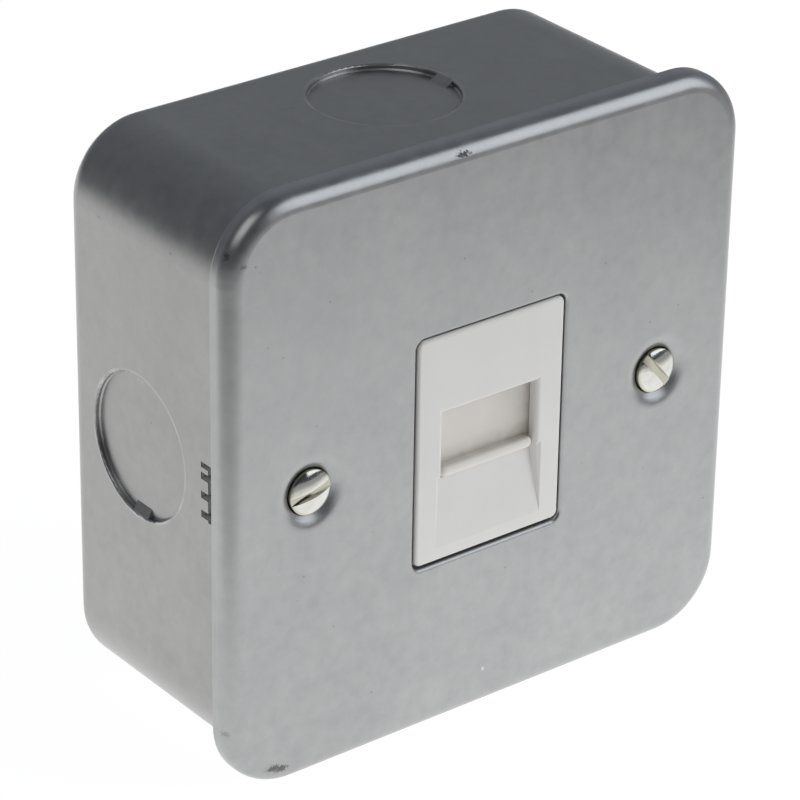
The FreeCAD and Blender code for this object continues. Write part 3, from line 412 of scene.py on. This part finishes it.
# %% [markdown]
# Every finish below is made the same way: a slow cloud for the colour, a second pattern for how dull or
# bright the skin is, and a fine bump for its texture. All of them read the place on the object itself, in
# metres, so a scale of 1000 means detail of about a millimetre.

# %% Helpers for finishes
def new_finish(name):
    """A material, its node tree, its main shader and the place on the object."""
    material = bpy.data.materials.new(name)
    material.use_nodes = True
    tree = material.node_tree
    return material, tree, tree.nodes["Principled BSDF"], add(tree, "TexCoord").outputs["Object"]


def noise(tree, place, scale, detail=3.0, rough=0.5):
    """Soft random clouds, about one over scale in size."""
    made = add(tree, "TexNoise", {"Vector": place, "Scale": scale, "Detail": detail, "Roughness": rough})
    return made.outputs["Fac"]


def bump(tree, shader, source, strength, height):
    """Let a pattern tilt the surface as if it stood that many millimetres high."""
    made = add(tree, "Bump", {"Strength": strength, "Distance": height * MM, "Height": source})
    tree.links.new(made.outputs["Normal"], shader.inputs["Normal"])


def blend_colour(tree, mask, first, second):
    """Go from one colour to another where the mask is 1."""
    made = add(tree, "Mix", {0: mask, 6: first, 7: second}, data_type="RGBA")
    return made.outputs[2]


def lay_tones(tree, place, colour, tone_layers):
    """Lay tones over a colour: real tints, painted shade and painted highlight alike; each is a pair of a
    mask maker and a tone.
    """
    for mask, tone in tone_layers:
        colour = blend_colour(tree, mask(tree, place), colour, (*tone, 1))
    return colour


def dress(material, *pieces):
    """Give objects this finish and no other."""
    for piece in pieces:
        piece.data.materials.clear()
        piece.data.materials.append(material)
    print(material.name, "on", len(pieces))


print("finish helpers ready")

# %% [markdown]
# Box and cover wear the same metallic grey stove enamel: thin, so that the steel gleams through, with the
# faint peel of a sprayed coat and a few specks of dust caught in it. Years on a wall add chips at the
# edges, dark where the enamel is gone. A chip is a distance from a point, made ragged by noise. The lips
# of the knockouts get a painted highlight, a thin light ring made patchy by noise, and the cut walls of
# the lug slots are bare steel.

# %% Stove enamel
def blot(tree, place, ragged, centre, size):
    """A ragged spot, 1 in its middle and 0 outside; centre and half sizes in millimetres."""
    fit = add(tree, "Mapping", {"Vector": place, "Location": Vector(centre) * MM,
                                "Scale": Vector(size) * MM}, vector_type="TEXTURE")
    away = add(tree, "VectorMath", {0: fit.outputs[0]}, operation="LENGTH").outputs["Value"]
    torn = maths(tree, "ADD", away, ragged)
    return spread(tree, torn, 1.3, 1.05, 0.0, 1.0)


def lip_highlight(tree, place, centre, across, radius):
    """Painted highlight, a thin ring that is 1 on the lip of a knockout; across is the wall's own axis, which
    doesn't count.
    """
    flat = [1000 if axis == across else 1 for axis in "XYZ"]
    fit = add(tree, "Mapping", {"Vector": place, "Location": Vector(centre) * MM, "Scale": flat},
              vector_type="TEXTURE")
    away = add(tree, "VectorMath", {0: fit.outputs[0]}, operation="LENGTH").outputs["Value"]
    off = maths(tree, "SUBTRACT", away, radius * MM)
    gap = maths(tree, "ABSOLUTE", off)
    # noise that breaks up the painted highlight
    patchy = spread(tree, noise(tree, place, 260.0, 3.0, 0.6), 0.38, 0.62, 0.05, 0.55)
    ring = spread(tree, gap, 0.34 * MM, 0.12 * MM, 0.0, 1.0)
    return maths(tree, "MULTIPLY", ring, patchy)


def sheared_slot(tree, place):
    """1 on the cut walls of the lug slots, which lie near the mouth and below the outer skin."""
    spot = add(tree, "SeparateXYZ", {0: place}).outputs
    side, height = (maths(tree, "ABSOLUTE", spot[axis]) for axis in "XZ")
    below = spread(tree, side, 41.65 * MM, 41.5 * MM, 0.0, 1.0)
    middle = spread(tree, height, 21 * MM, 20 * MM, 0.0, 1.0)
    mouth = spread(tree, spot["Y"], -28.5 * MM, -29 * MM, 0.0, 1.0)
    cut = maths(tree, "MULTIPLY", below, middle)
    return maths(tree, "MULTIPLY", cut, mouth)


def enamel(name, dark, light, marks, lips=(), cut=None):
    """Metallic enamel; marks are (centre, half sizes, colour), lips are rings of painted highlight on the
    knockout lips.
    """
    material, tree, shader, place = new_finish(name)
    cloud = noise(tree, place, 70.0, 3.0, 0.6)
    mottle = noise(tree, place, 420.0, 3.0, 0.6)
    blend = add(tree, "Mix", {0: 0.65, 2: cloud, 3: mottle}).outputs[0]
    colour = ramp(tree, blend, (0.35, dark), (0.65, light))
    dust = add(tree, "TexVoronoi", {"Vector": place, "Scale": 230.0})
    near = spread(tree, dust.outputs["Distance"], 0.05, 0.03, 0.0, 0.4)
    some = spread(tree, dust.outputs["Color"], 0.62, 0.66, 0.0, 1.0)
    speck = maths(tree, "MULTIPLY", near, some)
    colour = blend_colour(tree, speck, colour, (0.10, 0.10, 0.105, 1))
    ragged = spread(tree, noise(tree, place, 3600.0, 4.0, 0.75), 0.32, 0.66, 0.0, 1.0)
    for centre, size, tone in marks:
        colour = blend_colour(tree, blot(tree, place, ragged, centre, size), colour, (*tone, 1))
    for lip in lips:
        # painted highlight on the knockout lips
        colour = blend_colour(tree, lip_highlight(tree, place, *lip), colour, (0.60, 0.60, 0.60, 1))
    shader.inputs["Metallic"].default_value = 0.9
    if cut:
        raw = cut(tree, place)
        colour = blend_colour(tree, raw, colour, (0.62, 0.61, 0.60, 1))
        tree.links.new(spread(tree, raw, 0.0, 1.0, 0.9, 0.1), shader.inputs["Metallic"])
    tree.links.new(colour, shader.inputs["Base Color"])
    tree.links.new(spread(tree, mottle, 0.3, 0.7, 0.29, 0.37), shader.inputs["Roughness"])
    bump(tree, shader, noise(tree, place, 2600.0, 2.0, 0.5), 0.3, 0.012)
    return material


bare, dim, grey, faint, bright = (0.06,) * 3, (0.14,) * 3, (0.24,) * 3, (0.30,) * 3, (0.60,) * 3
cover_marks = [((-5.7, -39.7, 42.4), (1.6, 0.8, 0.55), bare),
               ((-36.5, -40.0, -40.5), (1.5, 1.0, 0.7), dim),
               ((-35.2, -40.0, -41.0), (1.5, 1.0, 0.7), dim),
               ((-42.6, -38.4, 37.4), (0.6, 0.7, 0.7), grey),
               ((-41.0, -40.0, 36.0), (0.7, 0.7, 0.4), grey),
               ((-43.5, -38.6, -33.1), (0.8, 1.0, 0.7), faint),
               ((-0.16, -40.0, -37.7), (0.35, 0.6, 0.5), bright)]
dress(enamel("cover_enamel", (0.366, 0.369, 0.373), (0.428, 0.431, 0.433), cover_marks), nodes["front_plate"])
box_marks = [((-41.65, -24.5, 32.2), (0.6, 0.6, 0.2), grey), ((-41.7, -7.9, 31.2), (0.6, 0.6, 0.2), grey),
             ((-41.4, -15.9, 10.0), (0.8, 1.4, 0.35), (0.46,) * 3)]
lips = [((0, -16.5, 0.5), "X", 10.75), ((-0.8, -16.5, 0), "Z", 10.75)]
dress(enamel("box_enamel", (0.312, 0.312, 0.31), (0.37, 0.368, 0.365), box_marks, lips, sheared_slot),
      nodes["back_box"])

# %% [markdown]
# The bare metals differ in three things: their colour, how dull the skin is, and the size of its grain.
# Bright nickel is almost a mirror. Zinc is dull and patchy, brass is yellow, contacts are gilt bronze,
# blades are tinned, and spring wire is dark and drawn smooth. The cover screws keep a trace of yellow
# lacquer at the rim and in the slot, found by how deep a place lies below the crown.

# %% Metals
def metal(name, dark, light, patch, dull, grain, tone_layers=()):
    """Bare or plated metal: patch is the cloud scale, dull the roughness range, grain the bump in mm."""
    material, tree, shader, place = new_finish(name)
    cloud = noise(tree, place, patch, 3.0, 0.6)
    colour = lay_tones(tree, place, ramp(tree, cloud, (0.3, dark), (0.7, light)), tone_layers)
    tree.links.new(colour, shader.inputs["Base Color"])
    tree.links.new(spread(tree, noise(tree, place, 5 * patch), 0.3, 0.7, *dull), shader.inputs["Roughness"])
    shader.inputs["Metallic"].default_value = 1.0
    bump(tree, shader, noise(tree, place, 3200.0, 2.0), 0.3, grain)
    return material


def old_lacquer(tree, place):
    """1 at the rim of a screw head and in its slot, where the yellow lacquer over the plating is left."""
    depth = add(tree, "SeparateXYZ", {0: place}).outputs["Y"]
    return spread(tree, depth, -39.85 * MM, -39.68 * MM, 0.0, 1.0)


def numbered(stem):
    """The six pieces of a row."""
    return [nodes["%s_%d" % (stem, number)] for number in range(1, 7)]


dress(metal("bright_nickel", (0.61, 0.608, 0.57), (0.69, 0.688, 0.65), 700.0, (0.09, 0.16), 0.004,
            ((old_lacquer, (0.46, 0.45, 0.375)),)), *screws)
dress(metal("zinc_plate", (0.42, 0.43, 0.44), (0.58, 0.59, 0.60), 450.0, (0.30, 0.48), 0.02),
      nodes["fixing_lug_left"], nodes["fixing_lug_right"])
dress(metal("turned_brass", (0.62, 0.44, 0.18), (0.72, 0.53, 0.24), 500.0, (0.18, 0.30), 0.01),
      nodes["earth_terminal_block"], nodes["earth_terminal_screw"])
dress(metal("gilt_bronze", (0.74, 0.54, 0.26), (0.84, 0.64, 0.34), 900.0, (0.15, 0.25), 0.004),
      *numbered("contact"))
dress(metal("tinned_blade", (0.60, 0.60, 0.58), (0.72, 0.72, 0.70), 800.0, (0.22, 0.36), 0.008),
      *numbered("terminal_blade"))
dress(metal("solder", (0.58, 0.58, 0.59), (0.74, 0.74, 0.75), 1500.0, (0.12, 0.28), 0.008), *solder)
dress(metal("spring_steel", (0.34, 0.34, 0.35), (0.46, 0.46, 0.47), 600.0, (0.20, 0.32), 0.006),
      spring, nodes["retaining_washer_left"], nodes["retaining_washer_right"])

# %% [markdown]
# The socket face and the shutter are moulded in white plastic from a mould with a fine sparked skin, so
# they are matt rather than glossy. The shutter has yellowed a little more than the face. Painted shade,
# with a little grime, darkens its right side by the jamb and the corner above the finger bar, and a
# painted highlight lightens the bar itself. Painted shade darkens the groove between the face and the
# cover, and draws its dark outline.

# %% White mouldings
def moulding(name, dark, light, dull=(0.40, 0.50), tone_layers=()):
    """Matt plastic; the tone layers are pairs of a mask maker and a colour, both real tints and painted shade
    and highlight.
    """
    material, tree, shader, place = new_finish(name)
    colour = ramp(tree, noise(tree, place, 110.0), (0.3, dark), (0.7, light))
    tree.links.new(lay_tones(tree, place, colour, tone_layers), shader.inputs["Base Color"])
    tree.links.new(spread(tree, noise(tree, place, 900.0), 0.3, 0.7, *dull), shader.inputs["Roughness"])
    bump(tree, shader, noise(tree, place, 5200.0, 2.0), 0.25, 0.01)
    return material


def jamb_shade_and_grime(tree, place):
    """Painted shade with a little grime: stronger towards the right jamb and in the corner above the finger
    bar, broken up by clouds.
    """
    spot = add(tree, "SeparateXYZ", {0: place}).outputs
    side = spread(tree, spot["X"], 0.0, 8.2 * MM, 0.0, 0.8)
    corner = spread(tree, spot["Z"], -0.8 * MM, -3.4 * MM, 0.0, 0.7)
    patch = spread(tree, noise(tree, place, 350.0, 4.0, 0.6), 0.35, 0.65, 0.6, 1.0)
    shade_share = maths(tree, "ADD", side, corner)
    return maths(tree, "MULTIPLY", shade_share, patch)


def groove_shade(tree, place):
    """Painted shade, 1 in the groove between the face and the cover: outside the face, and below its front.
    """
    half_width, half_height, drop = 12.6 * MM, 17.175 * MM, 0.275 * MM
    spot = add(tree, "SeparateXYZ", {0: place}).outputs
    side = maths(tree, "ABSOLUTE", spot["X"])
    level = maths(tree, "ADD", spot["Z"], drop)
    height = maths(tree, "ABSOLUTE", level)
    beside = maths(tree, "SUBTRACT", side, half_width)
    above = maths(tree, "SUBTRACT", height, half_height)
    off = maths(tree, "MAXIMUM", beside, above)
    outside = spread(tree, off, -0.12 * MM, -0.02 * MM, 0.0, 1.0)
    near = spread(tree, off, 0.9 * MM, 0.6 * MM, 0.0, 1.0)
    below = spread(tree, spot["Y"], -39.6 * MM, -39.3 * MM, 0.0, 1.0)
    groove = maths(tree, "MULTIPLY", outside, near)
    return maths(tree, "MULTIPLY", groove, below)


def bar_highlight(tree, place):
    """Painted highlight, 1 on the finger bar."""
    height = add(tree, "SeparateXYZ", {0: place}).outputs["Z"]
    return spread(tree, height, -3.5 * MM, -3.8 * MM, 0.0, 1.0)


# painted shade in the groove round the socket face
dress(moulding("white_moulding", (0.79, 0.776, 0.752), (0.82, 0.806, 0.782),
               tone_layers=((groove_shade, (0.20, 0.19, 0.175)),)), nodes["socket_frame"])
# painted shade with a little grime on the shutter, and a painted highlight on its finger bar
shutter_painted_light_and_grime = ((jamb_shade_and_grime, (0.50, 0.46, 0.41)), (bar_highlight, (0.82, 0.785, 0.74)))
dress(moulding("shutter_moulding", (0.73, 0.692, 0.645), (0.76, 0.72, 0.675), tone_layers=shutter_painted_light_and_grime),
      nodes["shutter"])
dress(moulding("housing_moulding", (0.66, 0.66, 0.64), (0.71, 0.71, 0.69), (0.35, 0.45)),
      nodes["jack_housing"], nodes["terminal_block"])

# %% [markdown]
# The board is glass cloth in resin under green lacquer, and the weave shows through. Two sets of fine
# bands at right angles, the brighter of the two at each place, give a cloth of half a millimetre.

# %% Board laminate
laminate, tree, shader, place = new_finish("board_laminate")
threads = [add(tree, "TexWave", {"Vector": place, "Scale": 628.0, "Distortion": 0.6},
               bands_direction=way).outputs["Fac"] for way in ("X", "Z")]
weave = maths(tree, "MAXIMUM", threads[0], threads[1])
lacquer = ramp(tree, weave, (0.2, (0.020, 0.115, 0.050)), (1.0, (0.032, 0.165, 0.075)))
tree.links.new(lacquer, shader.inputs["Base Color"])
tree.links.new(spread(tree, noise(tree, place, 400.0), 0.3, 0.7, 0.22, 0.34), shader.inputs["Roughness"])
bump(tree, shader, weave, 0.3, 0.01)
dress(laminate, nodes["circuit_board"])
